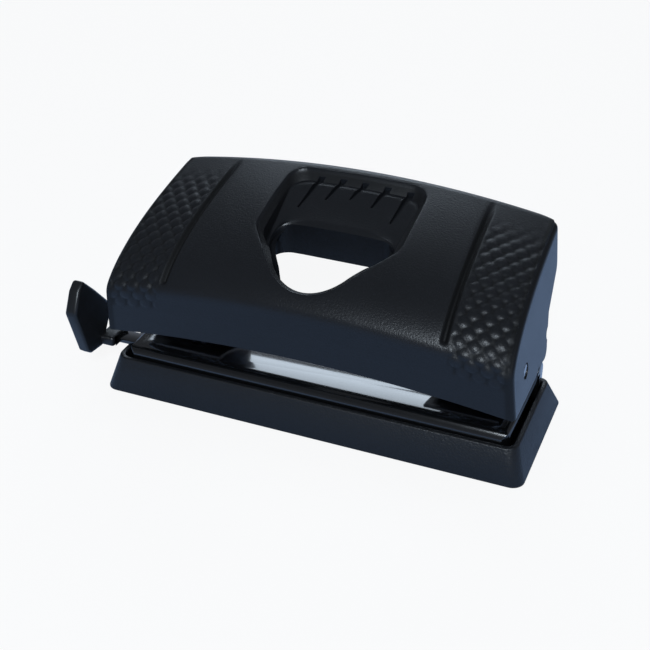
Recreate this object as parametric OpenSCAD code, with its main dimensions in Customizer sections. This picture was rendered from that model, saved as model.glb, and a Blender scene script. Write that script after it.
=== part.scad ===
// Two-hole desk punch: a moulded lever over a steel mechanism on a plastic chip tray.
// Origin: on the rest face, midway between the two punches. +X runs along the punch,
// +Y towards the back (away from the paper mouth), +Z up. Millimetres.

/* [Holes] */
// Distance between the two hole centres
hole_spacing = 80; // [70:1:90]
// Diameter of the punched hole
hole_d = 5.5; // [5:0.1:6.5]
// Paper edge to hole centre
edge_margin = 12; // [11:0.5:13]
// Height of the gap that the paper goes into
paper_gap = 1.9; // [1.6:0.1:2.4]

/* [Base] */
// Length of the tray at the floor
base_length = 121; // [112:1:145]
// Floor depth in front of the hole line
base_front = 20.5; // [19:0.5:26]
// Floor depth behind the hole line
base_rear = 23; // [21:0.5:28]
// Height of the tray's rim
rim_height = 9.7; // [8.5:0.1:11.5]
// Lean of the front wall, over the rim height
front_lean = 2.9; // [2:0.1:5]
// Lean of the back wall, over the rim height
rear_lean = 5.6; // [2:0.1:6]
// Lean of the end walls, over the rim height
end_lean = 2.9; // [1:0.1:3.5]
// Corner radius of the tray in plan
tray_corner = 3.2; // [3:0.5:6]
// Thickness of the tray's wall and floor
tray_wall = 1.4; // [1:0.1:1.8]
// Height of the steel table above the rim
table_rise = 2.8; // [2.5:0.1:4]
// Radius rolled onto the table's front edge
table_roll = 3.3; // [2:0.1:4]
// Thickness of the steel sheet
sheet = 1.2; // [0.8:0.1:1.5]

/* [Lever] */
// Length of the lever at the floor, before its end walls lean in
lever_length = 118; // [112:1:140]
// Lean of each end wall, per unit of height
lever_lean = 0.09; // [0.05:0.01:0.12]
// Front face of the lever, ahead of the hole line
lever_front = 23.6; // [22:0.2:26]
// Back face of the lever, behind the hole line
lever_rear = 28; // [26:0.5:34]
// Height of the lever's lower edge at mid length
lever_bottom = 25.5; // [24.5:0.1:27]
// Height of the crown at the back, at mid length
lever_top = 58.4; // [55:0.2:66]
// Radius of the crown's bow along the lever's length
crown_bow = 305; // [280:5:900]
// Radius of the bow of the lever's lower edge
edge_bow = 327; // [300:1:900]
// Wall thickness of the moulding
shell_wall = 1.8; // [1.4:0.1:2.2]
// Angle that the lever swings when pressed
press_angle = 14.5; // [12:0.5:15]
// Pivot ahead of the hole line
pivot_ahead = 9.8; // [9:0.1:11]
// Height of the pivot
pivot_z = 28.7; // [28:0.1:30]
// Diameter of the hinge pins
hinge_pin_d = 3.5; // [3:0.1:4]

/* [Finger hole] */
// Half width of the recess around the finger hole
recess_half = 20.5; // [18:0.5:22]
// Depth of the recess floor below the crown, at the hole
recess_drop = 5.2; // [4:0.1:6]
// Back edge of the through hole, behind the hole line
hole_rear = 7; // [5:0.5:9]

/* [Paper guide] */
// Width of the guide bar
bar_width = 5; // [4:0.1:5.2]
// Thickness of the guide bar
bar_thick = 1.2; // [1:0.1:1.3]
// Reach of the bar to the right of the middle
bar_reach = 44; // [30:1:46]
// Thickness of the knob plate
knob_thick = 3.6; // [3:0.1:5]
// Height of the knob's top
knob_top = 32.5; // [28:0.5:36]

/* [Springs] */
// Wire diameter of the return springs
wire_d = 0.8; // [0.6:0.1:0.9]
// Mean diameter of the spring coil
coil_d = 8.2; // [8:0.1:9]
// Turns of each spring
coil_turns = 6; // [4:1:7]

/* [Hidden] */
$fn = 64;

far = 200;                  // longer than anything here, for cutting blocks
seat_gap = 0.1;             // parts that lie on each other but move apart
side_gap = 0.3;             // moving faces side by side
running = 0.05;             // radial clearance of a running fit

// table and tray
table_z = rim_height + table_rise;
under_z = table_z - sheet;
rim_front = base_front - front_lean;
rim_rear = base_rear - rear_lean;
rim_half = base_length / 2 - end_lean;
table_front = rim_front - tray_wall - 0.4;
table_rear = rim_rear - tray_wall - 1;
table_half = rim_half - tray_wall - 1.2;
flange_z = 5.5;
end_round = 2;

// bracket, between the paper gap and the lever
guide_z = table_z + paper_gap;
bracket_inner = hole_spacing / 2 - 10;
bracket_front = 8;
head_z = guide_z + sheet + 14.4;
cheek_top = pivot_z + 5.6;
frame_cheek = lever_length / 2 - lever_lean * (pivot_z + 13.3) - shell_wall - side_gap;
cheek_x = frame_cheek - sheet - side_gap;

pin_r = hole_d / 2;

// lever frame: the pad that drives each punch lies flat when the lever is fully pressed
pad_rise = 6.5;
pad_thick = 1.5;
pin_centre = (pad_rise + pivot_ahead * sin(press_angle) - pin_r - seat_gap) / cos(press_angle);
punch_travel = pin_r + seat_gap - pad_rise + pin_centre;
tip_z = guide_z + seat_gap;

// tray hinge along the back
knuckle_r = 1.6;
tray_pin_r = 0.8;
knuckle_y = table_rear - 1.1;
knuckle_z = under_z - knuckle_r - seat_gap;
knuckle_x = 38;
knuckle_len = 5.6;
knuckle_ear = 2;

// die bushes and the bracket tenons beside them
die_r = pin_r + 2.2;
die_lip = 0.8;
die_depth = 2.6;
tenon_x = [bracket_inner + 3, hole_spacing / 2 + 4];
tenon = [3.2, sheet];

// paper guide
bar_z = rim_height + 0.2;
channel_wall = 1;
bar_y = min(-table_front + table_roll + channel_wall + side_gap,
    -die_r - die_lip - bar_width - seat_gap);
channel_floor = 1;
channel_left = -hole_spacing / 2 + die_r + die_lip + 1;
channel_right = 24;
knob_x = -base_length / 2 - 4.5;

// lever profile at mid length
ridge_r = 4.6;
rear_r = 3.5;
front_lean_in = 1.3;
end_drop = 4.8;

function lerp(a, b, t) = a + (b - a) * t;
function bezier(a, b, c, t) = lerp(lerp(a, b, t), lerp(b, c, t), t);
function arc(centre, r, from, to, steps) =
    [for (i = [0:steps]) let (a = lerp(from, to, i / steps)) centre + r * [cos(a), sin(a)]];
function unit(v) = v / norm(v);
function left_of(v) = [-v[1], v[0]];

// crown: a curve from the front ridge to the rounded back edge
crown_start = [-lever_front + 1.2, lever_top - 16.8];
crown_pull = [-lever_front + 10.1, lever_top - 6.5];
crown_end = [lever_rear - rear_r, lever_top];
function crown(t) = bezier(crown_start, crown_pull, crown_end, t);
crown_line = concat(
    arc([-lever_front + ridge_r, crown_start[1] - 3.1], ridge_r, 180, 138, 5),
    [for (i = [1:12]) crown(i / 12)],
    arc([lever_rear - rear_r, lever_top - rear_r], rear_r, 75, 0, 5));

// the same line moved inwards by the wall
function inset(line, w) = [for (i = [0:len(line) - 1])
    let (a = line[max(i - 1, 0)], b = line[min(i + 1, len(line) - 1)])
    line[i] - w * left_of(unit(b - a))];

// outline of the end walls: lower edge, stop lug and the slope up to the back edge
lug_r = 3;
clear = 5;                  // how far the lower edge's sweep runs past the crown's
lug = [9.4, lever_bottom + 2.4 + 0.4];
end_line = concat(
    [[lever_rear + clear, lever_bottom + 24.4 + 0.83 * clear], [22.2, lever_bottom + 19.6], [14, lever_bottom + 11.8]],
    arc(lug, lug_r, 60, -110, 8),
    [[3, lever_bottom + 1], [0, lever_bottom]]);
crown_outline = concat([[-lever_front + front_lean_in, 0]], crown_line, [[lever_rear, 0]]);
edge_outline = concat([[-lever_front - clear, lever_bottom], [-lever_front - clear, lever_top + clear],
    [lever_rear + clear, lever_top + clear]], end_line);

// ---- shared shapes ----------------------------------------------------------------------

// a profile drawn in (y, z), run along X between two stations
module along_x(from, to) {
    translate([from, 0, 0]) rotate([90, 0, 90]) linear_extrude(to - from) children();
}

// a profile drawn in (x, z), run along Y between two stations
module along_y(from, to) {
    translate([0, to, 0]) rotate([90, 0, 0]) linear_extrude(to - from) children();
}

// a profile drawn in (y, z), swept along a bow that has its radius at height z
module bowed(reach, radius, z) {
    half = asin(reach / (radius - z));
    translate([0, 0, z - radius]) rotate([-90, 0, 0]) rotate([0, 0, -90 - half])
        rotate_extrude(angle = 2 * half, $fn = 720) mirror([1, 0]) rotate(90)
            translate([0, radius - z]) children();
}

module rounded_plan(x0, x1, y0, y1, r) {
    translate([x0 + r, y0]) square([x1 - x0 - 2 * r, y1 - y0]);
    translate([x0, y0 + r]) square([x1 - x0, y1 - y0 - 2 * r]);
    for (x = [x0 + r, x1 - r], y = [y0 + r, y1 - r]) translate([x, y]) circle(r);
}

module sides() {
    children();
    mirror([1, 0, 0]) children();
}

// a bar along X with its axis at (y, z)
module rod(from, to, y, z, r) {
    translate([from, y, z]) rotate([0, 90, 0]) cylinder(h = to - from, r = r);
}

// ---- chip tray --------------------------------------------------------------------------

// the leaning block that the tray is cut from, shrunk by the wall
module tray_block(wall, from, to) {
    lean = [front_lean, rear_lean, end_lean] / rim_height;
    intersection() {
        along_x(-far, far) polygon([
            [-base_front + wall + lean[0] * from, from], [base_rear - wall - lean[1] * from, from],
            [base_rear - wall - lean[1] * to, to], [-base_front + wall + lean[0] * to, to]]);
        along_y(-far, far) polygon([
            [-base_length / 2 + wall + lean[2] * from, from],
            [base_length / 2 - wall - lean[2] * from, from],
            [base_length / 2 - wall - lean[2] * to, to],
            [-base_length / 2 + wall + lean[2] * to, to]]);
        linear_extrude(2 * far, center = true) rounded_plan(-base_length / 2 + wall,
            base_length / 2 - wall, -base_front + wall, base_rear - wall, tray_corner - wall);
    }
}

module tray_knuckles() {
    for (x = [knuckle_x - knuckle_len / 2 - knuckle_ear - seat_gap,
            knuckle_x + knuckle_len / 2 + seat_gap]) {
        rod(x, x + knuckle_ear, knuckle_y, knuckle_z, knuckle_r);
        translate([x, knuckle_y - knuckle_r, tray_wall / 2])
            cube([knuckle_ear, 2 * knuckle_r, knuckle_z - tray_wall / 2]);
    }
}

module chip_tray() {
    rib = 1.2;
    pocket = [1.2, 4];
    color([0.05, 0.055, 0.06]) difference() {
        union() {
            difference() {
                tray_block(0, 0, rim_height);
                tray_block(tray_wall, tray_wall, rim_height + 1);
            }
            intersection() {
                tray_block(tray_wall / 2, tray_wall / 2, rim_height);
                union() {
                    sides() tray_knuckles();
                    // ribs behind the front wall carry the table's front flange
                    sides() for (x = [12, 42]) translate([x, -base_front, tray_wall / 2])
                        cube([rib, base_front - table_front + 3, flange_z - seat_gap - tray_wall / 2]);
                }
            }
        }
        sides() rod(knuckle_x - knuckle_len, knuckle_x + knuckle_len, knuckle_y, knuckle_z,
            tray_pin_r);
        // pocket in each end rim, beside the stop ear
        sides() translate([rim_half - pocket[0] - 0.4, table_rear - 3.2, rim_height - 1.6])
            cube([pocket[0], pocket[1], 2]);
    }
}

module tray_pin() {
    reach = knuckle_len / 2 + knuckle_ear + seat_gap;
    color("silver") rod(knuckle_x - reach, knuckle_x + reach, knuckle_y, knuckle_z, tray_pin_r);
}
module left_tray_pin() mirror([1, 0, 0]) tray_pin();
module right_tray_pin() tray_pin();

// ---- steel table ------------------------------------------------------------------------

// the pressed table, shrunk by the sheet: rolled front edge, rounded ends, square back
module table_block(in, from) {
    top = table_z - in;
    intersection() {
        along_x(-far, far) union() {
            translate([-table_front + table_roll, from])
                square([table_front + table_rear - table_roll - in, top - from]);
            translate([-table_front + in, from])
                square([table_front, table_z - table_roll - from]);
            translate([-table_front + table_roll, table_z - table_roll]) circle(table_roll - in);
        }
        along_y(-far, far) union() {
            translate([-table_half + end_round, from])
                square([2 * (table_half - end_round), top - from]);
            translate([-table_half + in, from])
                square([2 * (table_half - in), table_z - end_round - from]);
            for (s = [-1, 1]) translate([s * (table_half - end_round), table_z - end_round])
                circle(end_round - in);
        }
        linear_extrude(2 * far, center = true) rounded_plan(-table_half + in, table_half - in,
            -table_front + in, table_rear - in, table_roll - in);
    }
}

// upright ear at each end: the lever's lug lands on it at full stroke
module stop_ear() {
    ear_top = lever_bottom - end_drop - 3.3;
    ear_r = 3.2;
    back = table_rear + 0.2;
    along_x(table_half - sheet, table_half + 1) union() {
        polygon([[edge_margin, flange_z], [back, flange_z], [back, ear_top - ear_r],
            [back - ear_r, ear_top], [edge_margin - 1.8, ear_top],
            [edge_margin - 2.8, ear_top - 1], [edge_margin - 2.8, ear_top - 2.4],
            [edge_margin, ear_top - 3]]);
        intersection() {
            translate([back - ear_r, ear_top - ear_r]) circle(ear_r);
            translate([back - ear_r, ear_top - ear_r]) square(ear_r);
        }
    }
}

module base_plate() {
    color([0.08, 0.09, 0.1]) difference() {
        union() {
            difference() {
                table_block(0, flange_z);
                table_block(sheet, flange_z - 1);
            }
            sides() stop_ear();
            sides() rod(knuckle_x - knuckle_len / 2, knuckle_x + knuckle_len / 2,
                knuckle_y, knuckle_z, knuckle_r);
            sides() translate([knuckle_x - knuckle_len / 2, knuckle_y - knuckle_r, knuckle_z])
                cube([knuckle_len, knuckle_r, under_z - knuckle_z]);
        }
        // room for the tray's own knuckles
        sides() for (x = [knuckle_x - knuckle_len / 2 - knuckle_ear - 2 * seat_gap - 0.2,
                knuckle_x + knuckle_len / 2]) translate([x, knuckle_y - 2, flange_z - 1])
            cube([knuckle_ear + 2 * seat_gap + 0.2, 2 + far, under_z - flange_z + 1]);
        sides() rod(knuckle_x - knuckle_len, knuckle_x + knuckle_len, knuckle_y, knuckle_z,
            tray_pin_r + running);
        sides() translate([hole_spacing / 2, 0, 0]) cylinder(h = far, r = die_r);
        sides() for (x = tenon_x) translate([x, edge_margin, flange_z])
            cube([tenon[0], tenon[1], far]);
        // way out for the guide bar
        translate([-table_half - 1, bar_y - side_gap, bar_z - side_gap])
            cube([sheet + 3, bar_width + 2 * side_gap, bar_thick + 2 * side_gap]);
    }
}

// ---- die bushes -------------------------------------------------------------------------

module die() {
    color("gainsboro") translate([hole_spacing / 2, 0, 0]) difference() {
        union() {
            translate([0, 0, table_z - die_depth]) cylinder(h = die_depth, r = die_r);
            translate([0, 0, table_z - die_depth]) cylinder(h = die_depth - sheet, r = die_r + die_lip);
        }
        cylinder(h = far, r = pin_r + running);
    }
}
module left_die() mirror([1, 0, 0]) die();
module right_die() die();

// ---- punch brackets ---------------------------------------------------------------------

module bracket() {
    width = cheek_x - bracket_inner;
    wall_y = edge_margin;
    color([0.55, 0.56, 0.58]) difference() {
        union() {
            // back wall, which is also the paper stop
            translate([bracket_inner, wall_y, table_z]) cube([width, sheet, head_z - table_z + sheet]);
            translate([bracket_inner, -bracket_front, guide_z])
                cube([width, bracket_front + wall_y + sheet, sheet]);
            translate([bracket_inner, -bracket_front + 1, head_z])
                cube([width, bracket_front - 1 + wall_y + sheet, sheet]);
            along_x(cheek_x - sheet, cheek_x) cheek_outline();
            for (x = tenon_x) translate([x, wall_y, under_z - 0.8])
                cube([tenon[0], tenon[1], table_z - under_z + 1.8]);
        }
        translate([hole_spacing / 2, 0, 0]) cylinder(h = far, r = pin_r + running);
        rod(0, far, -pivot_ahead, pivot_z, hinge_pin_d / 2);
    }
}

// outer cheek: a throat for the paper below, the pivot above
module cheek_outline() {
    nose = -pivot_ahead - 4.6;
    back = edge_margin + sheet;
    polygon([[nose, pivot_z - 3], [nose + 4, guide_z], [back, guide_z], [back, head_z + sheet],
        [-pivot_ahead + 6, cheek_top], [-pivot_ahead, cheek_top]]);
    translate([-pivot_ahead, pivot_z]) circle(cheek_top - pivot_z);
}
module left_bracket() mirror([1, 0, 0]) bracket();
module right_bracket() bracket();

// ---- hinge pins -------------------------------------------------------------------------

module hinge_pin() {
    end_x = lever_length / 2 - lever_lean * pivot_z - 0.15;
    color("silver") {
        rod(cheek_x - sheet, end_x, -pivot_ahead, pivot_z, hinge_pin_d / 2);
        rod(cheek_x - sheet - 1, cheek_x - sheet, -pivot_ahead, pivot_z, hinge_pin_d / 2 + 1.2);
    }
}
module left_hinge_pin() mirror([1, 0, 0]) hinge_pin();
module right_hinge_pin() hinge_pin();

// ---- paper guide ------------------------------------------------------------------------

module guide_channel() {
    length = channel_right - channel_left;
    y0 = bar_y - side_gap / 2 - channel_wall;
    width = bar_width + side_gap + 2 * channel_wall;
    floor_z = bar_z - 0.2 - channel_floor;
    color([0.2, 0.2, 0.21]) difference() {
        translate([channel_left, y0, floor_z]) cube([length, width, under_z - floor_z]);
        translate([channel_left - 1, y0 + channel_wall, floor_z + channel_floor])
            cube([length + 2, width - 2 * channel_wall, far]);
    }
}

module guide_bar() {
    color([0.12, 0.12, 0.13])
        translate([knob_x + 1, bar_y, bar_z]) cube([bar_reach - knob_x - 1, bar_width, bar_thick]);
}

// six-sided thumb plate standing on the bar's end, seen from the side as a leaning diamond
knob_outline = [[-18.2, knob_top], [-20.9, knob_top - 2.2], [-23.9, knob_top - 8],
    [-19.6, 10.4], [-18, 9], [-12, 8.3], [-7.2, 15.5], [-7.2, 20.5], [-13, knob_top - 5.4]];

module guide_knob() {
    neck = 5;
    color([0.05, 0.055, 0.06]) difference() {
        union() {
            along_x(knob_x - knob_thick, knob_x) polygon(knob_outline);
            translate([knob_x - 1, bar_y - 2, bar_z - 0.9])
                cube([neck, bar_width + 3, bar_thick + 1.8]);
        }
        translate([knob_x + 1, bar_y, bar_z]) cube([far, bar_width, bar_thick]);
    }
}

// ---- punches, springs and clips ---------------------------------------------------------

clip_thick = 0.8;
clip_z = head_z - clip_thick - 0.2;
groove_depth = 0.6;

module punch_pin() {
    color("silver") translate([hole_spacing / 2, 0, 0]) difference() {
        union() {
            translate([0, 0, tip_z]) cylinder(h = pivot_z + pin_centre - tip_z, r = pin_r);
            translate([0, 0, pivot_z + pin_centre]) sphere(r = pin_r);
        }
        // hollow-ground tip
        translate([0, -far / 2, tip_z - 1.9]) rotate([-90, 0, 0]) cylinder(h = far, r = 2.4);
        translate([0, 0, clip_z]) difference() {
            cylinder(h = clip_thick, r = pin_r + 1);
            translate([0, 0, -1]) cylinder(h = clip_thick + 2, r = pin_r - groove_depth);
        }
    }
}
module left_punch_pin() mirror([1, 0, 0]) punch_pin();
module right_punch_pin() punch_pin();

module spring_clip() {
    color("dimgray") translate([hole_spacing / 2, 0, clip_z]) difference() {
        cylinder(h = clip_thick, r = coil_d / 2 + 0.6);
        translate([0, 0, -1]) cylinder(h = clip_thick + 2, r = pin_r - groove_depth);
        translate([-pin_r + groove_depth, -far, -1])
            cube([2 * (pin_r - groove_depth), far, clip_thick + 2]);
    }
}
module left_spring_clip() mirror([1, 0, 0]) spring_clip();
module right_spring_clip() spring_clip();

// coil spring: rings of wire swept along a helix with closed ends
module spring() {
    sides_n = 8;
    per_turn = 16;
    rings = coil_turns * per_turn;
    low = guide_z + sheet + wire_d / 2 + seat_gap;
    high = clip_z - wire_d / 2 - seat_gap;
    function height(t) = lerp(low, high, t);
    points = [for (i = [0:rings]) let (t = i / rings, a = 360 * coil_turns * t)
        for (k = [0:sides_n - 1]) let (b = 360 * k / sides_n, r = coil_d / 2 + wire_d / 2 * cos(b))
            [r * cos(a), r * sin(a), height(t) + wire_d / 2 * sin(b)]];
    walls = [for (i = [0:rings - 1], k = [0:sides_n - 1]) let (m = (k + 1) % sides_n)
        [i * sides_n + k, i * sides_n + m, (i + 1) * sides_n + m, (i + 1) * sides_n + k]];
    caps = [[for (k = [sides_n - 1:-1:0]) k], [for (k = [0:sides_n - 1]) rings * sides_n + k]];
    color("silver") translate([hole_spacing / 2, 0, 0]) polyhedron(points, concat(walls, caps));
}
module left_spring() mirror([1, 0, 0]) spring();
module right_spring() spring();

// ---- lever frame ------------------------------------------------------------------------

frame_front = lever_front - 3.7;

// pad plane: tilted up to the back at rest, level when pressed
module pad(thick, from_y, to_y) {
    translate([0, -pivot_ahead, pivot_z]) rotate([press_angle, 0, 0])
        translate([0, from_y + pivot_ahead, pad_rise]) cube([far, to_y - from_y, thick]);
}

module lever_frame() {
    pad_front = -6.5;
    pad_back = 8.5;
    pad_inner = hole_spacing / 2 - 8;
    low = pivot_z - 4.4;
    color([0.45, 0.46, 0.48]) difference() {
        union() {
            intersection() {
                sides() pad(pad_thick, pad_front, pad_back);
                sides() translate([pad_inner, -far, 0]) cube([frame_cheek - pad_inner, 2 * far, far]);
            }
            sides() along_x(frame_cheek - sheet, frame_cheek) polygon([
                [-frame_front, low + 2.6], [-pivot_ahead - 4, low], [-pivot_ahead + 6, low],
                [pad_back - 0.6, pivot_z + 11.6], [pad_back - 1, pivot_z + 13],
                [pad_front, pivot_z + 9.2], [-frame_front, pivot_z + 7.3]]);
            translate([-frame_cheek, -frame_front, low + 2.6])
                cube([2 * frame_cheek, sheet, pivot_z + 7.3 - low - 2.6]);
        }
        rod(-far, far, -pivot_ahead, pivot_z, hinge_pin_d / 2 + running);
    }
}

// ---- lever shell ------------------------------------------------------------------------

// end walls lean in; the front face bows forward in the middle; the back corners are round
module lever_limits(wall) {
    front_bow = 1.7;
    corner = 5.5;
    half = lever_length / 2 - wall;
    steps = 16;
    intersection() {
        along_y(-far, far) polygon([[-half, 0], [half, 0],
            [half - lever_lean * far, far], [-half + lever_lean * far, far]]);
        linear_extrude(2 * far, center = true) union() {
            polygon(concat(
                [for (i = [-steps:steps]) let (t = i / steps)
                    [t * half, -lever_front + wall + front_bow * t * t]],
                [[half, lever_rear - corner], [-half, lever_rear - corner]]));
            rounded_plan(-half + lever_lean * 50, half - lever_lean * 50, 0,
                lever_rear - wall, corner - wall);
        }
    }
}

module through_hole(grow) {
    hull() {
        translate([0, -8]) circle(12.4 + grow, $fn = 32);
        for (x = [-11.5, 11.5]) translate([x, hole_rear - 5]) circle(5 + grow, $fn = 32);
    }
}

module recess_outline(grow) {
    hull() {
        translate([0, -8]) circle(12.8 + grow, $fn = 32);
        for (s = [-1, 1]) translate([s * (recess_half - 6.5), -0.5]) circle(6.5 + grow, $fn = 32);
        for (s = [-1, 1]) translate([s * (recess_half - 5), 18]) circle(5 + grow, $fn = 32);
    }
}

// block above (or, with a depth, the slab just under) the sloping recess floor
module recess_floor(depth) {
    back = 23.4;
    slope = atan2(recess_drop + 2.6, back - hole_rear);
    translate([-far / 2, back, lever_top - 0.5]) rotate([slope, 0, 0])
        translate([0, -far, depth > 0 ? -depth : 0]) cube([far, 2 * far, depth > 0 ? depth : far]);
}

module lever_shell() {
    tunnel_z = pivot_z + 9.8;
    rib = 1.4;
    color([0.05, 0.055, 0.06]) difference() {
        intersection() {
            bowed(lever_length / 2, crown_bow, lever_top) polygon(crown_outline);
            bowed(lever_length / 2, edge_bow, lever_bottom) polygon(edge_outline);
            lever_limits(0);
            union() {
                difference() {
                    translate([-far, -far, 0]) cube(2 * far);
                    // the hollow under the crown, open below
                    intersection() {
                        bowed(lever_length / 2, crown_bow, lever_top) polygon(concat(
                            [[-lever_front + front_lean_in + shell_wall, 0]],
                            inset(crown_line, shell_wall), [[lever_rear - shell_wall, 0]]));
                        lever_limits(shell_wall);
                    }
                }
                // tunnel round the finger hole and the floor of the recess
                translate([0, 0, tunnel_z]) linear_extrude(far) difference() {
                    through_hole(shell_wall);
                    through_hole(0);
                }
                intersection() {
                    translate([0, 0, tunnel_z]) linear_extrude(far) recess_outline(shell_wall);
                    recess_floor(shell_wall);
                }
                // ribs that bear on the frame's pads
                difference() {
                    sides() for (x = [-5, 5]) translate([hole_spacing / 2 + x - rib / 2, -6, 0])
                        cube([rib, 14, far]);
                    sides() translate([0, -pivot_ahead, pivot_z]) rotate([press_angle, 0, 0])
                        translate([0, -far, -far]) cube([far, 2 * far, far + pad_rise + pad_thick]);
                }
            }
        }
        intersection() {
            linear_extrude(far) recess_outline(0);
            recess_floor(0);
        }
        linear_extrude(far) through_hole(0);
        rod(-far, far, -pivot_ahead, pivot_z, hinge_pin_d / 2 + 0.35);
    }
}

chip_tray();
left_tray_pin();
right_tray_pin();
base_plate();
left_die();
right_die();
left_bracket();
right_bracket();
left_hinge_pin();
right_hinge_pin();
guide_channel();
guide_bar();
guide_knob();
left_punch_pin();
right_punch_pin();
left_spring_clip();
right_spring_clip();
left_spring();
right_spring();
lever_frame();
lever_shell();
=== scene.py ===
import bpy
import bmesh
from math import atan2, cos, hypot, pi, radians, sin, sqrt, tau
from mathutils import Matrix, Vector


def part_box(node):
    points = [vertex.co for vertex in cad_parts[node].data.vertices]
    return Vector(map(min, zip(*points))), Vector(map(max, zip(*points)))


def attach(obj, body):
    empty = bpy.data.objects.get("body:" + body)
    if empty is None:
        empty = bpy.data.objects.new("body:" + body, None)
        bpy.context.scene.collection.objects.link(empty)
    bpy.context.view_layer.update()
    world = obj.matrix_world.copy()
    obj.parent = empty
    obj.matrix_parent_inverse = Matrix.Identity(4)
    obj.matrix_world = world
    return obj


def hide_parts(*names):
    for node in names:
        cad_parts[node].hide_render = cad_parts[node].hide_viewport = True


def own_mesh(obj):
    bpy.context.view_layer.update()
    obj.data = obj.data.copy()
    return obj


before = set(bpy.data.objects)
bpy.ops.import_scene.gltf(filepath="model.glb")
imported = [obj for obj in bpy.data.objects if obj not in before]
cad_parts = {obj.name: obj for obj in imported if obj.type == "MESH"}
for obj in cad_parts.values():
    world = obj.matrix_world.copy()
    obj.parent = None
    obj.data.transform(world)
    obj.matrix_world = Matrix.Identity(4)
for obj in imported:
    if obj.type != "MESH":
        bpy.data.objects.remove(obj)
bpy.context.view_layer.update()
mm = 0.001


def corners(node):
    low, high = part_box(node)
    return [c / mm for c in low], [c / mm for c in high]


def lerp(a, b, t):
    return a + (b - a) * t


def clamp(t):
    return min(max(t, 0.0), 1.0)


def smooth(low, high, value):
    t = clamp((value - low) / (high - low))
    return t * t * (3 - 2 * t)


# ---- shader helpers

class Wire:  # an output in a material, with arithmetic that adds Math nodes
    def __init__(self, shader, socket):
        self.shader, self.socket = shader, socket

    def maths(self, operation, first, second):
        return self.shader.add("ShaderNodeMath", {"operation": operation}, {0: first, 1: second})

    def __add__(self, other):
        return self.maths("ADD", self, other)

    def __mul__(self, other):
        return self.maths("MULTIPLY", self, other)

    def __sub__(self, other):
        return self.maths("SUBTRACT", self, other)

    def __rsub__(self, other):
        return self.maths("SUBTRACT", other, self)

    __radd__ = __add__
    __rmul__ = __mul__


class Shader:
    def __init__(self, tree):
        self.nodes, self.links = tree.nodes, tree.links
        self.nodes.clear()

    def add(self, kind, settings=None, inputs=None, output=0):
        node = self.nodes.new(kind)
        for key, value in (settings or {}).items():
            if key == "stops":
                ramp = node.color_ramp.elements
                while len(ramp) < len(value):
                    ramp.new(0.5)
                for element, (place, colour) in zip(ramp, value):
                    element.position, element.color = place, colour
            else:
                setattr(node, key, value)
        for key, value in (inputs or {}).items():
            if isinstance(value, Wire):
                self.links.new(value.socket, node.inputs[key])
            else:
                node.inputs[key].default_value = value
        return Wire(self, node.outputs[output]) if node.outputs else node


def objectPlace(shader):
    return shader.add("ShaderNodeTexCoord", output="Object")


def grey(value):
    return (value, value, value, 1)


def newMaterial(name):
    material = bpy.data.materials.new(name)
    material.use_nodes = True
    return material, Shader(material.node_tree)


def finishMaterial(shader, inputs):
    surface = shader.add("ShaderNodeBsdfPrincipled", None, inputs)
    shader.add("ShaderNodeOutputMaterial", None, {"Surface": surface})


# moulded black plastic with a fine grain; "polish" marks smooth places, and the other attribute is
# painted shade that darkens the colour and roughens the surface in the grooves, creases, recess
# walls and slots
def mouldedPlastic(name, colour, rough, grainDepth, grainScale, sheen):
    material, shader = newMaterial(name)
    place = objectPlace(shader)
    polish = shader.add("ShaderNodeAttribute", {"attribute_name": "polish"}, output="Fac")
    shade = shader.add("ShaderNodeAttribute", {"attribute_name": "shade"}, output="Fac")
    grain = shader.add("ShaderNodeTexNoise", None,
                       {"Vector": place, "Scale": grainScale, "Detail": 3, "Roughness": 0.6})
    cloud = shader.add("ShaderNodeTexNoise", None, {"Vector": place, "Scale": 60, "Detail": 2})
    bump = shader.add("ShaderNodeBump", None, {"Height": grain * (1 - polish * 0.85), "Strength": 1,
                                               "Distance": grainDepth * mm})
    tone = shader.add("ShaderNodeMix", {"data_type": "RGBA"}, {
        "Factor": grain * 0.6 + cloud * 0.4, "A": (*[c * 0.8 for c in colour], 1),
        "B": (*[c * 1.25 for c in colour], 1)}, output=2)
    # painted shade: where the attribute is set, the colour is darkened towards a tenth of itself
    tone = shader.add("ShaderNodeMix", {"data_type": "RGBA"}, {
        "Factor": shade, "A": tone, "B": (*[c * 0.1 for c in colour], 1)}, output=2)
    gloss = cloud * 0.12 + shade * 0.32 + (rough - 0.06) - polish * 0.12
    finishMaterial(shader, {"Base Color": tone, "Roughness": gloss,
                            "Specular IOR Level": sheen, "Normal": bump})
    return material


# stoved gloss paint on pressed steel
def glossPaint(name, colour, rough):
    material, shader = newMaterial(name)
    place = objectPlace(shader)
    ripple = shader.add("ShaderNodeTexNoise", None, {"Vector": place, "Scale": 320, "Detail": 2})
    bump = shader.add("ShaderNodeBump", None,
                      {"Height": ripple, "Strength": 0.6, "Distance": 0.02 * mm})
    smudge = shader.add("ShaderNodeTexNoise", None, {"Vector": place, "Scale": 90, "Detail": 3})
    finishMaterial(shader, {"Base Color": (*colour, 1), "Roughness": smudge * 0.14 + (rough - 0.07),
                            "Coat Weight": 1.0, "Coat Roughness": 0.08, "Normal": bump})
    return material


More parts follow.
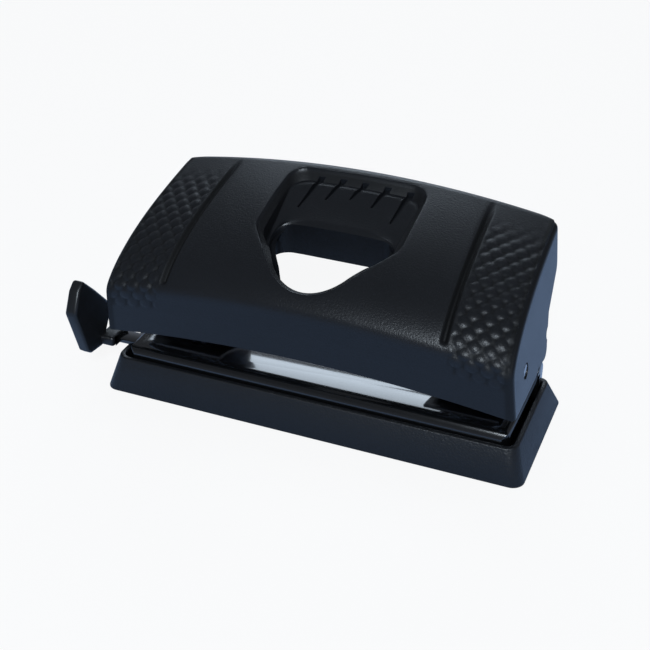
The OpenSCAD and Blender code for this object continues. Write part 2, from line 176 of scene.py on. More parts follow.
# plated or ground steel, with faint rolling marks along one axis
def bareSteel(name, colour, rough, stretch):
    material, shader = newMaterial(name)
    place = objectPlace(shader)
    along = shader.add("ShaderNodeMapping", None, {"Vector": place, "Scale": stretch})
    marks = shader.add("ShaderNodeTexNoise", None, {"Vector": along, "Scale": 1500, "Detail": 3})
    cloud = shader.add("ShaderNodeTexNoise", None, {"Vector": place, "Scale": 110, "Detail": 3})
    bump = shader.add("ShaderNodeBump", None,
                      {"Height": marks, "Strength": 0.5, "Distance": 0.01 * mm})
    tone = shader.add("ShaderNodeMix", {"data_type": "RGBA"}, {
        "Factor": cloud, "A": (*[c * 0.88 for c in colour], 1), "B": (*colour, 1)}, output=2)
    finishMaterial(shader, {"Base Color": tone, "Metallic": 1.0,
                            "Roughness": marks * 0.12 + cloud * 0.1 + (rough - 0.11),
                            "Normal": bump})
    return material


leverPlastic = mouldedPlastic("leverPlastic", (0.0080, 0.0087, 0.0104), 0.36, 0.075, 1900, 0.42)
trayPlastic = mouldedPlastic("trayPlastic", (0.0078, 0.0086, 0.0102), 0.40, 0.14, 1700, 0.5)
knobPlastic = mouldedPlastic("knobPlastic", (0.0095, 0.0096, 0.0104), 0.36, 0.03, 2400, 0.5)
blackPaint = glossPaint("blackPaint", (0.004, 0.0042, 0.0046), 0.16)
platedSteel = bareSteel("platedSteel", (0.5, 0.5, 0.52), 0.34, (1, 8, 8))
darkSteel = bareSteel("darkSteel", (0.09, 0.092, 0.098), 0.4, (1, 8, 8))
brightSteel = bareSteel("brightSteel", (0.66, 0.66, 0.68), 0.2, (8, 8, 1))
print("materials ready")


# ---- mesh helpers

def addPiece(name, mesh, material, body, slot, nodes, sharp=38):
    for polygon in mesh.polygons:
        polygon.use_smooth = True
    mesh.set_sharp_from_angle(angle=radians(sharp))
    mesh.materials.clear()
    mesh.materials.append(material)
    piece = bpy.data.objects.new(name, mesh)
    bpy.context.collection.objects.link(piece)
    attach(piece, body)
    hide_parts(*nodes)
    mesh.calc_loop_triangles()
    print(name, len(mesh.loop_triangles), "triangles")
    return piece


# bm is drawn in millimetres, in the frame's axes
def meshFrom(bm, name):
    bmesh.ops.scale(bm, verts=bm.verts, vec=(mm, mm, mm))
    mesh = bpy.data.meshes.new(name)
    bm.to_mesh(mesh)
    bm.free()
    return mesh


def pieceFrom(bm, name, *where, **settings):
    return addPiece(name, meshFrom(bm, name), *where, **settings)


# gives a sheet its wall, inwards
def walled(mesh, thickness):
    sheet = bpy.data.objects.new("sheet", mesh)
    bpy.context.collection.objects.link(sheet)
    wall = sheet.modifiers.new("wall", "SOLIDIFY")
    wall.thickness, wall.offset = thickness * mm, -1
    whole = sheet.evaluated_get(bpy.context.evaluated_depsgraph_get())
    finished = bpy.data.meshes.new_from_object(whole)
    bpy.data.objects.remove(sheet)
    return finished


# takes one mesh away from another
def drilled(mesh, drill):
    body, cutter = bpy.data.objects.new("body", mesh), bpy.data.objects.new("cutter", drill)
    for piece in (body, cutter):
        bpy.context.collection.objects.link(piece)
    cut = body.modifiers.new("cut", "BOOLEAN")
    cut.operation, cut.solver, cut.object = "DIFFERENCE", "EXACT", cutter
    whole = body.evaluated_get(bpy.context.evaluated_depsgraph_get())
    finished = bpy.data.meshes.new_from_object(whole)
    for piece in (body, cutter):
        bpy.data.objects.remove(piece)
    return finished


# a merged copy of a node, with its outer edges broken
def brokenEdges(node, name, material, body, slot, width, segments=2, minimum=35):
    bm = bmesh.new()
    bm.from_mesh(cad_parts[node].data)
    bmesh.ops.scale(bm, verts=bm.verts, vec=(1 / mm,) * 3)
    bmesh.ops.remove_doubles(bm, verts=bm.verts, dist=0.002)
    bmesh.ops.dissolve_limit(bm, angle_limit=radians(0.6), verts=bm.verts, edges=bm.edges)
    edges = [e for e in bm.edges if e.is_manifold and e.is_convex
             and e.calc_face_angle(0) > radians(minimum)]
    bmesh.ops.bevel(bm, geom=edges, offset=width, offset_type="OFFSET", affect="EDGES",
                    segments=segments, profile=0.5, material=-1, clamp_overlap=False)
    return pieceFrom(bm, name, material, body, slot, [node])


def addBlock(bm, low, high):
    made = bmesh.ops.create_cube(bm, size=1)["verts"]
    bmesh.ops.scale(bm, verts=made, vec=[b - a for a, b in zip(low, high)])
    bmesh.ops.translate(bm, verts=made, vec=[(a + b) / 2 for a, b in zip(low, high)])
    return made


def addRod(bm, start, stop, y, z, radius, segments=32):
    made = bmesh.ops.create_cone(bm, cap_ends=True, segments=segments, radius1=radius,
                                 radius2=radius, depth=stop - start)["verts"]
    bmesh.ops.rotate(bm, verts=made, matrix=Matrix.Rotation(pi / 2, 3, "Y"))
    bmesh.ops.translate(bm, verts=made, vec=((start + stop) / 2, y, z))
    return made


def verticesOf(result):
    return [g for g in result["geom"] if isinstance(g, bmesh.types.BMVert)]


def edgesOf(result):
    return [g for g in result["geom"] if isinstance(g, bmesh.types.BMEdge)]


# ---- lever shell

shellLow, shellHigh = corners("lever_shell")
lever = {
    "front": shellLow[1], "rear": shellHigh[1], "top": shellHigh[2],
    "bottom": 25.5, "half": 59.0, "lean": 0.09, "wall": 1.8,
    "crownBow": 305.0, "edgeBow": 327.0,    # radii of the two sweeps along the length
    "frontBow": 1.7, "rearCorner": 5.5, "endRadius": 1.2,
    "ridgeRadius": 4.6, "rearRadius": 3.5, "skirt": 4.0,
    "pinHole": 2.1, "drillReach": 8,
    "lug": (9.4, 2.9), "lugRadius": 2.7,    # place from the axis and above the lower edge
    "notch": (13.5, 6), "notchRadius": 2,
    "ribX": (35, 45), "ribSize": (1.4, 11, 7.5), "ribMiddle": (2.5, 42.75),
    "grooveFront": 38.2, "grooveRear": 36.7, "grooveDepth": 1.0,
    "scaleWide": 4.0, "scaleLong": 2.7, "scaleHeight": 0.62,
    # painted shade in the scales' creases, and along the pad's outer edge and the end wall's
    # rounded edge
    "creasePaintedShade": 0.8, "edgePaintedShade": 0.75,
    "midColumns": 32, "grooveColumns": 9, "padColumns": 36, "wallColumns": 24,
    "crownRows": 108,
}
endX = lever["half"] - 3
crownStart = (lever["front"] + 1.2, lever["top"] - 16.8)
crownPull = (lever["front"] + 10.1, lever["top"] - 6.5)
crownEnd = (lever["rear"] - lever["rearRadius"], lever["top"])


def crownAt(t):
    return tuple((1 - t) ** 2 * a + 2 * t * (1 - t) * b + t * t * c
                 for a, b, c in zip(crownStart, crownPull, crownEnd))


# height of the crown above the point (x, y)
def crownHeight(x, y):
    a = crownStart[0] - 2 * crownPull[0] + crownEnd[0]
    b = 2 * (crownPull[0] - crownStart[0])
    c = crownStart[0] - y
    t = (-b + sqrt(max(b * b - 4 * a * c, 0))) / (2 * a)
    return bowed(x, crownAt(t)[1])


# a height at mid length, lowered along a bow that has its radius at the level given
def lowered(x, z, radius, level):
    axis = radius - level
    return sqrt((z + axis) ** 2 - x * x) - axis


# the crown follows one bow and the lower edges another
def bowed(x, z, crown=1.0):
    upper = lowered(x, z, lever["crownBow"], lever["top"])
    return lerp(lowered(x, z, lever["edgeBow"], lever["bottom"]), upper, crown)


def arcPoints(centre, radius, start, stop, count):
    return [(centre[0] + radius * cos(radians(lerp(start, stop, i / count))),
             centre[1] + radius * sin(radians(lerp(start, stop, i / count))))
            for i in range(count + 1)]


# side profile at mid length, from the front's lower edge over the crown to the skirt
def profileRows():
    front, rear, bottom = lever["front"], lever["rear"], lever["bottom"]
    shoulder = crownStart[1] - 3.1
    fine = shoulder - 5
    points = [(lerp(front + 1.3, front + 0.38, i / 9), lerp(bottom, fine, i / 9)) for i in range(9)]
    points += [(lerp(front + 0.38, front, i / 11), lerp(fine, shoulder, i / 11)) for i in range(11)]
    ridge = (front + lever["ridgeRadius"], shoulder)
    points += arcPoints(ridge, lever["ridgeRadius"], 180, 140, 8)
    points += [crownAt(i / lever["crownRows"]) for i in range(1, lever["crownRows"] + 1)]
    edge = (rear - lever["rearRadius"], lever["top"] - lever["rearRadius"])
    points += arcPoints(edge, lever["rearRadius"], 76, 0, 8)
    points += [(rear, edge[1] - lever["skirt"] * i / 4) for i in range(1, 5)]
    return points


rows = profileRows()
rowCount = len(rows)


def rowNormal(i):
    a, b = rows[max(i - 1, 0)], rows[min(i + 1, rowCount - 1)]
    step = hypot(b[0] - a[0], b[1] - a[1])
    return -(b[1] - a[1]) / step, (b[0] - a[0]) / step


normals = [rowNormal(i) for i in range(rowCount)]
shares = [smooth(0, 20, i) if i < 20 else smooth(rowCount - 1, rowCount - 5, i)
          for i in range(rowCount)]      # how far each row follows the crown's bow
runs = [0.0]
for i in range(1, rowCount):
    runs.append(runs[-1] + hypot(rows[i][0] - rows[i - 1][0], rows[i][1] - rows[i - 1][1]))
ridgeRun = runs[20]      # where the front face starts to turn over


def endOf(z):
    return lever["half"] - lever["lean"] * z


# the end wall's rounded upper edge: a point of the profile moved inwards
def edgePoint(i, turn):
    (y, z), (ny, nz) = rows[i], normals[i]
    depth = lever["endRadius"] * (1 - cos(turn))
    y, z = y - ny * depth, z - nz * depth
    low = bowed(endX, z, shares[i])
    return endOf(low) - lever["endRadius"] * (1 - sin(turn)), y, low


# the end wall's lower edge, from the front to the skirt
def lowerEdge():
    bottom = lever["bottom"]
    lug = (lever["lug"][0], bottom + lever["lug"][1])
    points = [(0, bottom), (3, bottom + 1)]
    points += arcPoints(lug, lever["lugRadius"], -110, 8, 10)
    points += [(14, bottom + 11.8), (22.2, bottom + 19.6)]
    points = [(y, bowed(endX, z, 0)) for y, z in points]
    return [edgePoint(0, pi / 2)[1:]] + points + [edgePoint(rowCount - 1, pi / 2)[1:]]


def resample(points, share):
    lengths = [hypot(b[0] - a[0], b[1] - a[1]) for a, b in zip(points, points[1:])]
    want = share * sum(lengths)
    for (a, b), length in zip(zip(points, points[1:]), lengths):
        if want <= length:
            return lerp(a[0], b[0], want / length), lerp(a[1], b[1], want / length)
        want -= length
    return points[-1]


wallFoot = lowerEdge()


def grooveAt(y):
    return lerp(lever["grooveFront"], lever["grooveRear"],
                (y - lever["front"]) / (lever["rear"] - lever["front"]))


# raised rounded scales, staggered row by row
def scaleHeight(u, v):
    wide, long = lever["scaleWide"], lever["scaleLong"]
    best = 0.0
    line = int(v // long)
    for row in (line - 1, line, line + 1):
        shift = 0.5 * (row % 2)
        column = round(u / wide - shift) + shift
        a = (u - column * wide) / (0.56 * wide)
        b = (v - (row + 0.42) * long) / (0.86 * long)
        b *= 1.2 if b < 0 else 0.85
        best = max(best, 1 - a * a - b * b)
    return best


# how far the surface stands proud of the plain profile
def relief(i, x, kind, share):
    y, run = rows[i][0], runs[i] - ridgeRun
    groove = grooveAt(y)
    push = 0.0
    off = abs(x - groove)
    if off < 1.4:
        depth = smooth(3.0, 4.6, run) * (1 - smooth(16, 25, y))
        push -= lever["grooveDepth"] * depth * (1 - smooth(0.1, 1.2, off))
    if kind == "pad":
        inside = smooth(0, 0.06, share) * (1 - smooth(0.97, 1.0, share))
        length = smooth(-4.2, -3.4, run) * (1 - smooth(36, 49, run))
        height = scaleHeight(x - groove - 1.4, run + 4.2)
        push += lever["scaleHeight"] * inside * length * (height - 0.75)
    return push


# painted shade, dark in the creases between the scales and along the pad's outer edge
def padPaintedShade(i, x, share):
    run = runs[i] - ridgeRun
    height = scaleHeight(abs(x) - grooveAt(rows[i][0]) - 1.4, run + 4.2)
    length = smooth(-4.2, -3.4, run) * (1 - smooth(36, 49, run))
    crease = lever["creasePaintedShade"] * length * (1 - smooth(0.25, 0.7, height))
    return max(crease, lever["edgePaintedShade"] * smooth(0.9, 0.95, share))


# the columns on the right half, from the middle outwards and down the end wall
columns = [("mid", i / lever["midColumns"]) for i in range(1, lever["midColumns"])]
columns += [("groove", lerp(-1.3, 1.3, i / lever["grooveColumns"]))
            for i in range(lever["grooveColumns"] + 1)]
columns += [("pad", i / lever["padColumns"]) for i in range(1, lever["padColumns"] + 1)]
columns += [("edge", pi / 2 * i / 6) for i in range(1, 7)]
columns += [("wall", i / lever["wallColumns"]) for i in range(1, lever["wallColumns"] + 1)]
columnCount = len(columns)


def leverPoint(i, j):
    side = -1 if j < 0 else 1
    kind, share = ("mid", 0.0) if j == 0 else columns[abs(j) - 1]
    (y, z), (ny, nz) = rows[i], normals[i]
    if kind == "wall":
        top = edgePoint(i, pi / 2)
        foot = resample(wallFoot, runs[i] / runs[-1])
        y, z = lerp(top[1], foot[0], share), lerp(top[2], foot[1], share)
        x = endOf(z)
    elif kind == "edge":
        x, y, z = edgePoint(i, share)
    else:
        groove = grooveAt(y)
        limit = endOf(bowed(endX, z, shares[i])) - lever["endRadius"]
        x = {"mid": share * (groove - 1.3), "groove": groove + share,
             "pad": lerp(groove + 1.3, limit, share)}[kind]
        push = relief(i, x, kind, share)
        slant = x / lever["crownBow"]
        z = bowed(x, z, shares[i]) + push * nz
        x, y = x + push * nz * slant, y + push * ny
    # the front face bows, the rear corners are round in plan
    y += lever["frontBow"] * (x / lever["half"]) ** 2 * (1 - smooth(0, 30, y - lever["front"]))
    radius = lever["rearCorner"]
    outer = endOf(z)
    a, b = (x - outer + radius) / radius, (y - lever["rear"] + radius) / radius
    if a > 0 and b > 0:
        a, b = min(a, 1), min(b, 1)
        x = outer - radius + radius * a * sqrt(1 - b * b / 2)
        y = lever["rear"] - radius + radius * b * sqrt(1 - a * a / 2)
    return Vector((side * x, y, z))


# ---- finger hole and its recess, drawn as rounds joined by straight lines

recess = {
    "centre": (0, -3), "points": 360,
    "outline": [((0, -6.2), 13.7), ((-13.6, -0.5), 6.4), ((13.6, -0.5), 6.4),
                ((-15, 17.6), 4.8), ((15, 17.6), 4.8)],
    "hole": [((0, -6.4), 12.0), ((-12.4, 0.9), 4.6), ((12.4, 0.9), 4.6)],
    "floorBack": (23.4, shellHigh[2] - 0.35), "floorSlope": 0.475,
    "rim": 0.4, "chamfer": 1.9, "chamferDrop": 1.7, "wall": 0.5, "scoop": 0.6,
    # painted shade on the recess walls: the wall rings take it, the floor takes none
    "tunnel": 40.2, "rimRings": 4, "chamferRings": 3, "wallRings": 4, "paintedShadeRings": (4, 9),
    "polish": 0.3, "wallPaintedShade": 0.65, "floorPaintedShade": 0.0,
    "footDepth": 0.7, "slotDepth": 0.5, "slotTop": 21.3, "floorEdge": 19.6, "slotOver": 3,
    "floorRings": 22, "tunnelRings": 5,
    "slots": 5, "slotPitch": 6.4, "slotBackWidth": 1.0, "slotFootWidth": 0.3,
    "slotFoot": 15.5, "slotBow": 1.15, "slotLean": (-0.6, 2.0), "footPitch": 6.6,
}
bearings = [i * pi / 90 for i in range(180)]


def outlineReach(rounds, grow, heading):
    supports = []
    for bearing in bearings:
        n = (cos(bearing), sin(bearing))
        facing = n[0] * heading[0] + n[1] * heading[1]
        if facing > 0.05:
            support = max(c[0] * n[0] + c[1] * n[1] + r for c, r in rounds) + grow
            centre = recess["centre"]
            supports.append((support - centre[0] * n[0] - centre[1] * n[1]) / facing)
    return min(supports)


# closer together towards the back, where the recess is longest
def headingOf(k):
    turn = tau * k / recess["points"]
    angle = turn + 0.5 * sin(turn) - pi / 2
    return cos(angle), sin(angle)


headings = [headingOf(k) for k in range(recess["points"])]
outerReach = [outlineReach(recess["outline"], 0, h) for h in headings]
rimReach = [outlineReach(recess["outline"], recess["rim"], h) for h in headings]
holeReach = [outlineReach(recess["hole"], 0, h) for h in headings]


def planPoint(k, reach):
    x, y = recess["centre"]
    return x + headings[k][0] * reach, y + headings[k][1] * reach


# one tapered slot: where it starts and stops, and how wide and deep it is there
def slotEnds(n):
    footLean, topLean = recess["slotLean"]
    foot = (recess["footPitch"] * n + footLean, recess["slotFoot"] - recess["slotBow"] * n * n,
            recess["slotFootWidth"], recess["footDepth"])
    top = (recess["slotPitch"] * n + topLean, recess["slotTop"],
           recess["slotBackWidth"], recess["slotDepth"])
    return foot, top


def floorHeight(x, y, share):
    back, top = recess["floorBack"]
    plane = bowed(x, top) - recess["floorSlope"] * (back - y)
    return max(plane - recess["scoop"] * sin(pi * share), recess["tunnel"] + 0.8)


# the rings go over the rim, down the wall, across the floor and down the tunnel
def recessRings():
    count = recess["points"]
    rings = []
    for step in range(recess["rimRings"]):
        turn = pi / 2 * step / (recess["rimRings"] - 1)
        ring = []
        for k in range(count):
            reach = lerp(rimReach[k], outerReach[k], sin(turn))
            x, y = planPoint(k, reach)
            ring.append((x, y, crownHeight(x, y) - recess["rim"] * (1 - cos(turn))))
        rings.append(ring)
    rim = rings[-1]
    ledges, feet = [], []
    for k in range(count):
        gap = outerReach[k] - holeReach[k]
        reach = outerReach[k] - min(recess["chamfer"], 0.75 * gap)
        ledges.append((reach, rim[k][2] - recess["chamferDrop"] * clamp((gap - 1.5) / 1.6)))
        reach -= min(recess["wall"], 0.1 * gap)
        x, y = planPoint(k, reach)
        feet.append((reach, min(floorHeight(x, y, 0), ledges[k][1] - 0.5)))
    for start, stop, steps in ((None, ledges, recess["chamferRings"]),
                               (ledges, feet, recess["wallRings"])):
        for step in range(1, steps + 1):
            t = step / steps
            ring = []
            for k in range(count):
                reach, z = start[k] if start else (outerReach[k], rim[k][2])
                x, y = planPoint(k, lerp(reach, stop[k][0], t))
                ring.append((x, y, lerp(z, stop[k][1], t)))
            rings.append(ring)
    for step in range(1, recess["floorRings"] + 1):
        t = step / recess["floorRings"]
        ring = []
        for k in range(count):
            x, y = planPoint(k, lerp(feet[k][0], holeReach[k], t))
            drop = 0.5 * smooth(0.9, 1, t)
            ring.append((x, y, min(floorHeight(x, y, t), feet[k][1]) - drop))
        rings.append(ring)
    floor = rings[-1]
    for step in range(1, recess["tunnelRings"] + 1):
        t = step / recess["tunnelRings"]
        rings.append([(x, y, lerp(z, recess["tunnel"], t)) for x, y, z in floor])
    return rings


# opens a hole round the faces picked and joins it to a new ring of points
def openTo(bm, inside, ring):
    doomed = [f for f in bm.faces if inside(f.calc_center_median())]
    chosen = set(doomed)
    border = [e for f in doomed for e in f.edges
              if sum(g in chosen for g in e.link_faces) == 1]
    bmesh.ops.delete(bm, geom=doomed, context="FACES_ONLY")
    loose = [v for v in bm.verts if not v.link_faces and not any(e in border for e in v.link_edges)]
    bmesh.ops.delete(bm, geom=loose, context="VERTS")
    made = bmesh.ops.create_circle(bm, cap_ends=False, segments=len(ring), radius=1)["verts"]
    for vert, place in zip(made, ring):
        vert.co = place
    fresh = list({e for v in made for e in v.link_edges})
    bmesh.ops.bridge_loops(bm, edges=[e for e in border if e.is_valid] + fresh)
    return fresh


def buildLeverShell():
    bm = bmesh.new()
    polish = bm.verts.layers.float.new("polish")    # 1 where the mould is smooth
    # painted shade, darkening the colour: full down in the grooves, less in the scales' creases and
    # along the edge to the end wall
    shade = bm.verts.layers.float.new("shade")      # 1 down in the grooves
    across, down = 2 * columnCount, rowCount - 1
    bmesh.ops.create_grid(bm, x_segments=across, y_segments=down, size=1)
    for vert in bm.verts:
        j = round((vert.co.x + 1) / 2 * across) - columnCount
        i = round((vert.co.y + 1) / 2 * down)
        vert.co = leverPoint(i, j)
        kind, share = columns[abs(j) - 1] if j else ("mid", 0)
        vert[polish] = {"wall": 1.0, "edge": 0.5}.get(kind, 0.0)
        # painted shade in the groove, in the scales' creases and on the rounded edge to the end
        # wall
        if kind == "groove":
            run = runs[i] - ridgeRun
            vert[shade] = (smooth(3.0, 4.6, run) * (1 - smooth(14, 25, rows[i][0]))
                           * (1 - smooth(1.0, 1.3, abs(share))))
        elif kind == "pad":
            vert[shade] = padPaintedShade(i, vert.co.x, share)
        # painted shade along the rounded edge between the crown and the end wall
        elif kind == "edge":
            vert[shade] = lever["edgePaintedShade"] * (1 - smooth(0.7, 1.3, share))
    bmesh.ops.remove_doubles(bm, verts=bm.verts, dist=0.001)

    # finger hole: each ring is drawn out of the one before
    rings = recessRings()
    window = [outlineReach(recess["outline"], 1.4, h) for h in headings]
    angles = [atan2(h[1], h[0]) for h in headings]
    centre = recess["centre"]

    def overRecess(place):
        x, y = place.x - centre[0], place.y - centre[1]
        if abs(x) > 24 or y > 28:
            return False
        angle = atan2(y, x)
        near = min(range(len(angles)), key=lambda k: abs((angles[k] - angle + pi) % tau - pi))
        return hypot(x, y) < window[near]

    edges = openTo(bm, overRecess, rings[0])
    verts = list({v for e in edges for v in e.verts})
    order = {}
    for vert in verts:
        order[vert] = min(range(len(rings[0])),
                          key=lambda k: (Vector(rings[0][k]) - vert.co).length_squared)
    for step, ring in enumerate(rings[1:], 1):
        # the recess walls get painted shade, the floor none
        first, last = recess["paintedShadeRings"]
        dark = recess["wallPaintedShade"] if first <= step <= last else recess["floorPaintedShade"]
        grown = bmesh.ops.extrude_edge_only(bm, edges=edges)
        edges = edgesOf(grown)
        fresh = verticesOf(grown)
        lookup = {v.co.to_tuple(5): k for v, k in order.items()}
        order = {v: lookup[v.co.to_tuple(5)] for v in fresh}
        for vert, k in order.items():
            vert.co = ring[k]
            vert[polish], vert[shade] = recess["polish"], dark

    bmesh.ops.recalc_face_normals(bm, faces=bm.faces)
    crest = max(bm.faces, key=lambda f: f.calc_center_median().z)
    if crest.normal.z < 0:
        bmesh.ops.reverse_faces(bm, faces=bm.faces)
    shell = walled(meshFrom(bm, "leverShell"), lever["wall"])

    # the hinge pins show through a hole in each end wall
    pinLow, pinHigh = corners("right_hinge_pin")
    pinY, pinZ = (pinLow[1] + pinHigh[1]) / 2, (pinLow[2] + pinHigh[2]) / 2
    notchY, notchRise = lever["notch"]
    notchZ = bowed(endX, lever["bottom"] + notchRise, 0)
    drill = bmesh.new()
    for side in (-1, 1):
        start, stop = [side * lever["half"] + reach * lever["drillReach"] for reach in (-1, 1)]
        addRod(drill, start, stop, pinY, pinZ, lever["pinHole"], 40)
        # and the lower edge is notched behind the stop lug
        addRod(drill, start, stop, notchY, notchZ, lever["notchRadius"], 40)
    floorStart = recess["rimRings"] + recess["chamferRings"] + recess["wallRings"] + 1
    floorPoints = [p for ring in rings[floorStart:-recess["tunnelRings"]] for p in ring]

    def floorAt(x, y):
        return min(floorPoints, key=lambda p: (p[0] - x) ** 2 + (p[1] - y) ** 2)[2]

    # the slots in the recess's floor, cut with painted shade so that they render dark
    cutPaintedShade = drill.verts.layers.float.new("shade")
    for n in range(-(recess["slots"] // 2), recess["slots"] // 2 + 1):
        ends = slotEnds(n)
        wedge = addBlock(drill, (-1, -1, -1), (1, 1, 1))
        for vert in wedge:
            x, y, width, depth = ends[vert.co.y > 0]
            floor = floorAt(x, min(y, recess["floorEdge"]))
            across, lift = vert.co.x, vert.co.z
            vert.co = (x + across * width, y, floor + (recess["slotOver"] if lift > 0 else -depth))
            vert[cutPaintedShade] = 1.0
    shell = drilled(shell, meshFrom(drill, "drill"))

    # ribs that bear on the frame's pads
    bm = bmesh.new()
    bm.from_mesh(shell)
    for x in [side * x for side in (-1, 1) for x in lever["ribX"]]:
        rib = bmesh.ops.create_cube(bm, size=1)["verts"]
        bmesh.ops.scale(bm, verts=rib, vec=[c * mm for c in lever["ribSize"]])
        bmesh.ops.translate(bm, verts=rib, vec=[c * mm for c in (x, *lever["ribMiddle"])])
    bm.to_mesh(shell)
    bm.free()
    addPiece("leverShell", shell, leverPlastic, "lever", "lever_plastic", ["lever_shell"])


buildLeverShell()

# ---- tray, table and mechanism

trayLow, trayHigh = corners("chip_tray")
tray = {
    "frontCorner": 3.4, "rearCorner": 2.2, "wall": 1.4,
    "frontLean": 2.9, "rearLean": 5.6, "endLean": 2.9,
    "rimEdge": 0.4, "footEdge": 0.3, "ribX": (12, 42), "ribTop": 5.4,
    "ribInset": 0.5, "ribLong": 5.5, "hingeX": 38, "earLong": 2.0, "earGap": 2.8, "earRadius": 1.6,
}


def buildChipTray():
    bm = bmesh.new()
    block = addBlock(bm, trayLow, trayHigh)
    for vert in block:
        if vert.co.z > 1:
            vert.co.x -= tray["endLean"] * (1 if vert.co.x > 0 else -1)
            vert.co.y += tray["frontLean"] if vert.co.y < 0 else -tray["rearLean"]
    for end, corner in ((-1, tray["frontCorner"]), (1, tray["rearCorner"])):
        posts = [e for e in bm.edges if abs(e.verts[0].co.z - e.verts[1].co.z) > 5
                 and all(v.co.y * end > 10 and abs(v.co.x) > trayHigh[0] - 3 for v in e.verts)
                 and e.calc_face_angle(0) > 1]
        bmesh.ops.bevel(bm, geom=posts, offset=corner, offset_type="OFFSET", affect="EDGES",
                        segments=9, profile=0.5, material=-1)
    rim = max(bm.faces, key=lambda f: f.calc_center_median().z)
    bmesh.ops.inset_individual(bm, faces=[rim], thickness=tray["wall"])
    well = bmesh.ops.extrude_face_region(bm, geom=[rim])
    floor = verticesOf(well)
    bmesh.ops.delete(bm, geom=[rim], context="FACES_ONLY")
    depth = trayHigh[2] - tray["wall"]
    share = depth / trayHigh[2]
    bmesh.ops.translate(bm, verts=floor, vec=(0, 0, -depth))
    for vert in floor:
        vert.co.x += tray["endLean"] * share * (1 if vert.co.x > 0 else -1)
        vert.co.y += (-tray["frontLean"] if vert.co.y < 0 else tray["rearLean"]) * share
    rims = [e for e in bm.edges if all(v.co.z > trayHigh[2] - 0.01 for v in e.verts)
            and e.calc_face_angle(0) > 0.5]
    bmesh.ops.bevel(bm, geom=rims, offset=tray["rimEdge"], offset_type="OFFSET", affect="EDGES",
                    segments=3, profile=0.5, material=-1)
    feet = [e for e in bm.edges if all(v.co.z < 0.01 for v in e.verts)]
    bmesh.ops.bevel(bm, geom=feet, offset=tray["footEdge"], offset_type="OFFSET", affect="EDGES",
                    segments=2, profile=0.5, material=-1)
    hingeLow, hingeHigh = corners("right_tray_pin")
    hingeY, hingeZ = (hingeLow[1] + hingeHigh[1]) / 2, (hingeLow[2] + hingeHigh[2]) / 2
    ribFront = trayLow[1] + tray["wall"] + tray["ribInset"]     # stays inside the leaning wall
    for side in (-1, 1):
        for x in tray["ribX"]:
            ends = sorted((side * x, side * (x + 1.2)))
            addBlock(bm, (ends[0], ribFront, tray["wall"] / 2),
                     (ends[1], ribFront + tray["ribLong"], tray["ribTop"]))
        for off in (-1, 1):
            near = side * tray["hingeX"] + off * (tray["earGap"] + 0.1)
            ends = sorted((near, near + off * tray["earLong"]))
            addRod(bm, ends[0], ends[1], hingeY, hingeZ, tray["earRadius"])
            addBlock(bm, (ends[0], hingeY - tray["earRadius"], 0.7),
                     (ends[1], hingeY + tray["earRadius"], hingeZ))
    bmesh.ops.recalc_face_normals(bm, faces=bm.faces)
    pieceFrom(bm, "chipTray", trayPlastic, "tray", "tray_plastic", ["chip_tray"])


buildChipTray()
brokenEdges("base_plate", "steelTable", blackPaint, "punch_unit", "black_paint", 0.2)
brokenEdges("guide_knob", "guideKnob", knobPlastic, "guide", "lever_plastic", 0.9, 4)
brokenEdges("guide_bar", "guideBar", blackPaint, "guide", "black_paint", 0.15)
brokenEdges("guide_channel", "guideChannel", darkSteel, "punch_unit", "plated_steel", 0.12)
brokenEdges("lever_frame", "leverFrame", platedSteel, "lever", "plated_steel", 0.18)
for side in ("left", "right"):
    brokenEdges(f"{side}_bracket", f"{side}Bracket", platedSteel, "punch_unit",
                "plated_steel", 0.18)
    brokenEdges(f"{side}_hinge_pin", f"{side}HingePin", brightSteel, "punch_unit",
                "bright_steel", 0.25)
    brokenEdges(f"{side}_die", f"{side}Die", brightSteel, "punch_unit", "bright_steel", 0.12)
    brokenEdges(f"{side}_spring_clip", f"{side}SpringClip", darkSteel, f"{side}_punch",
                "plated_steel", 0.1)
    brokenEdges(f"{side}_punch_pin", f"{side}PunchPin", brightSteel, f"{side}_punch",
                "bright_steel", 0.08)
    brokenEdges(f"{side}_tray_pin", f"{side}TrayPin", brightSteel, "punch_unit",
                "bright_steel", 0.1)

# return springs: a round of wire spun up a helix
spring = {"wire": 0.4, "coil": 4.1, "turns": 6, "steps": 28, "sides": 10,
          "stroke": 2.7}      # how far it shortens at the end of the lever's travel


def returnSpring(side):
    low, high = corners(f"{side}_spring")
    middle = [(a + b) / 2 for a, b in zip(low, high)]
    bm = bmesh.new()
    wire = bmesh.ops.create_circle(bm, cap_ends=True, segments=spring["sides"],
                                   radius=spring["wire"])
    bmesh.ops.rotate(bm, verts=wire["verts"], matrix=Matrix.Rotation(pi / 2, 3, "X"))
    start = (middle[0] + spring["coil"], middle[1], low[2] + spring["wire"])
    bmesh.ops.translate(bm, verts=wire["verts"], vec=start)
    steps = spring["turns"] * spring["steps"]
    rise = (high[2] - low[2] - 2 * spring["wire"]) / steps
    bmesh.ops.spin(bm, geom=list(bm.verts) + list(bm.edges) + list(bm.faces),
                   cent=(middle[0], middle[1], 0), axis=(0, 0, 1), dvec=(0, 0, rise),
                   angle=tau * spring["turns"], steps=steps)
    bmesh.ops.remove_doubles(bm, verts=bm.verts, dist=0.001)
    bmesh.ops.recalc_face_normals(bm, faces=bm.faces)
    coil = pieceFrom(bm, f"{side}Spring", brightSteel, "punch_unit", "bright_steel",
                     [f"{side}_spring"])
    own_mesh(coil)


for side in ("left", "right"):
    returnSpring(side)
print("pieces ready")

# ---- floor, light and camera

stage = {
    "size": 2.4, "seen": 0.95, "lift": 0.88,      # pale floor, and how much of it is plain white
    "cool": (0.43, 0.56, 0.80),                   # the floor as gloss and shade see it
    "horizon": (0.24, 0.27, 0.33, 1), "zenith": (0.10, 0.108, 0.122, 1),
}


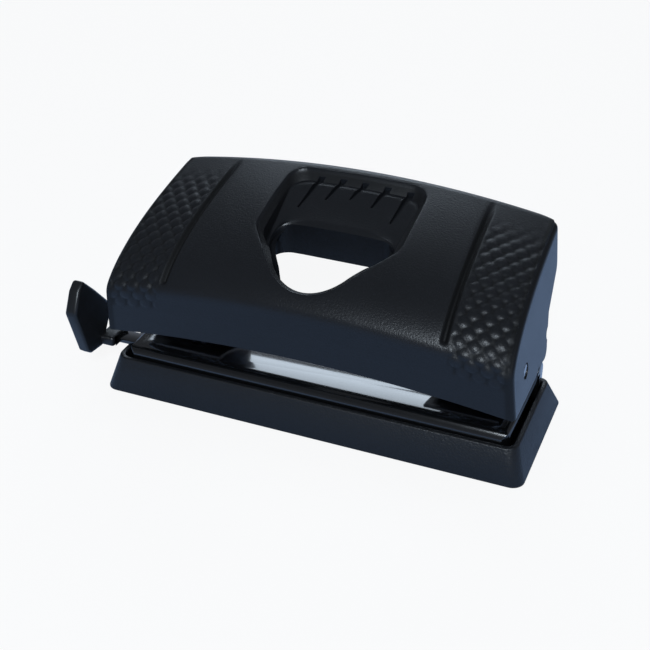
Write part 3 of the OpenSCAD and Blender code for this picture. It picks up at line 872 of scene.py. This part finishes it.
def buildStage():
    bm = bmesh.new()
    bmesh.ops.create_grid(bm, x_segments=1, y_segments=1, size=stage["size"])
    bmesh.ops.translate(bm, verts=bm.verts, vec=(0, 0, -0.0002))
    mesh = bpy.data.meshes.new("floor")
    bm.to_mesh(mesh)
    bm.free()
    floor = bpy.data.objects.new("floor", mesh)
    bpy.context.collection.objects.link(floor)
    material, shader = newMaterial("paleFloor")
    toCamera = shader.add("ShaderNodeLightPath", output="Is Camera Ray")
    plain = shader.add("ShaderNodeBsdfDiffuse", None, {"Color": grey(stage["seen"])})
    cool = shader.add("ShaderNodeBsdfDiffuse", None, {"Color": (*stage["cool"], 1)})
    white = shader.add("ShaderNodeEmission", None, {"Color": grey(1), "Strength": 1})
    seen = shader.add("ShaderNodeMixShader", None, {0: stage["lift"], 1: plain, 2: white})
    both = shader.add("ShaderNodeMixShader", None, {0: toCamera, 1: cool, 2: seen})
    shader.add("ShaderNodeOutputMaterial", None, {"Surface": both})
    mesh.materials.append(material)


def buildWorld():
    world = bpy.data.worlds.new("studio")
    world.use_nodes = True
    bpy.context.scene.world = world
    shader = Shader(world.node_tree)
    place = shader.add("ShaderNodeTexCoord", output="Generated")
    height = shader.add("ShaderNodeSeparateXYZ", None, {"Vector": place}, output="Z")
    sky = shader.add("ShaderNodeValToRGB", {"stops": [
        (0.0, stage["horizon"]), (0.5, stage["zenith"])]}, {"Fac": height})
    toCamera = shader.add("ShaderNodeLightPath", output="Is Camera Ray")
    room = shader.add("ShaderNodeBackground", None, {"Color": sky, "Strength": 1})
    white = shader.add("ShaderNodeBackground", None, {"Color": grey(1), "Strength": 1})
    both = shader.add("ShaderNodeMixShader", None, {0: toCamera, 1: room, 2: white})
    shader.add("ShaderNodeOutputWorld", None, {"Surface": both})


def softLamp(name, place, size, power, colour, shine=True):
    lamp = bpy.data.lights.new(name, "AREA")
    lamp.shape, lamp.size, lamp.size_y = "RECTANGLE", size[0], size[1]
    lamp.energy, lamp.color = power, colour
    holder = bpy.data.objects.new(name, lamp)
    holder.location = place
    towards = Vector((0, 0, 0.03)) - Vector(place)
    holder.rotation_euler = towards.to_track_quat("-Z", "Y").to_euler()
    holder.visible_glossy = shine
    bpy.context.collection.objects.link(holder)


buildStage()
buildWorld()
softLamp("overhead", (0, 0, 1.2), (1.6, 1.6), 5.0, (0.8, 0.9, 1), shine=False)
softLamp("frontKey", (0.32, -0.98, 0.90), (0.3, 0.3), 10, (0.8, 0.9, 1))
softLamp("rearPanel", (-0.38, 1.12, 0.66), (0.6, 0.5), 3.2, (0.75, 0.87, 1))

view = {"place": (0.10525, -0.25870, 0.19452), "aim": (-0.3249, 0.7883, -0.5225),
        "lens": 66.96, "sensor": 36}
camera = bpy.data.cameras.new("camera")
camera.lens, camera.sensor_width = view["lens"], view["sensor"]
camera.clip_start, camera.clip_end = 0.01, 20
holder = bpy.data.objects.new("camera", camera)
holder.location = view["place"]
holder.rotation_euler = Vector(view["aim"]).to_track_quat("-Z", "Y").to_euler()
bpy.context.collection.objects.link(holder)
bpy.context.scene.camera = holder
bpy.context.scene.view_settings.view_transform = "Standard"

print("scene ready")
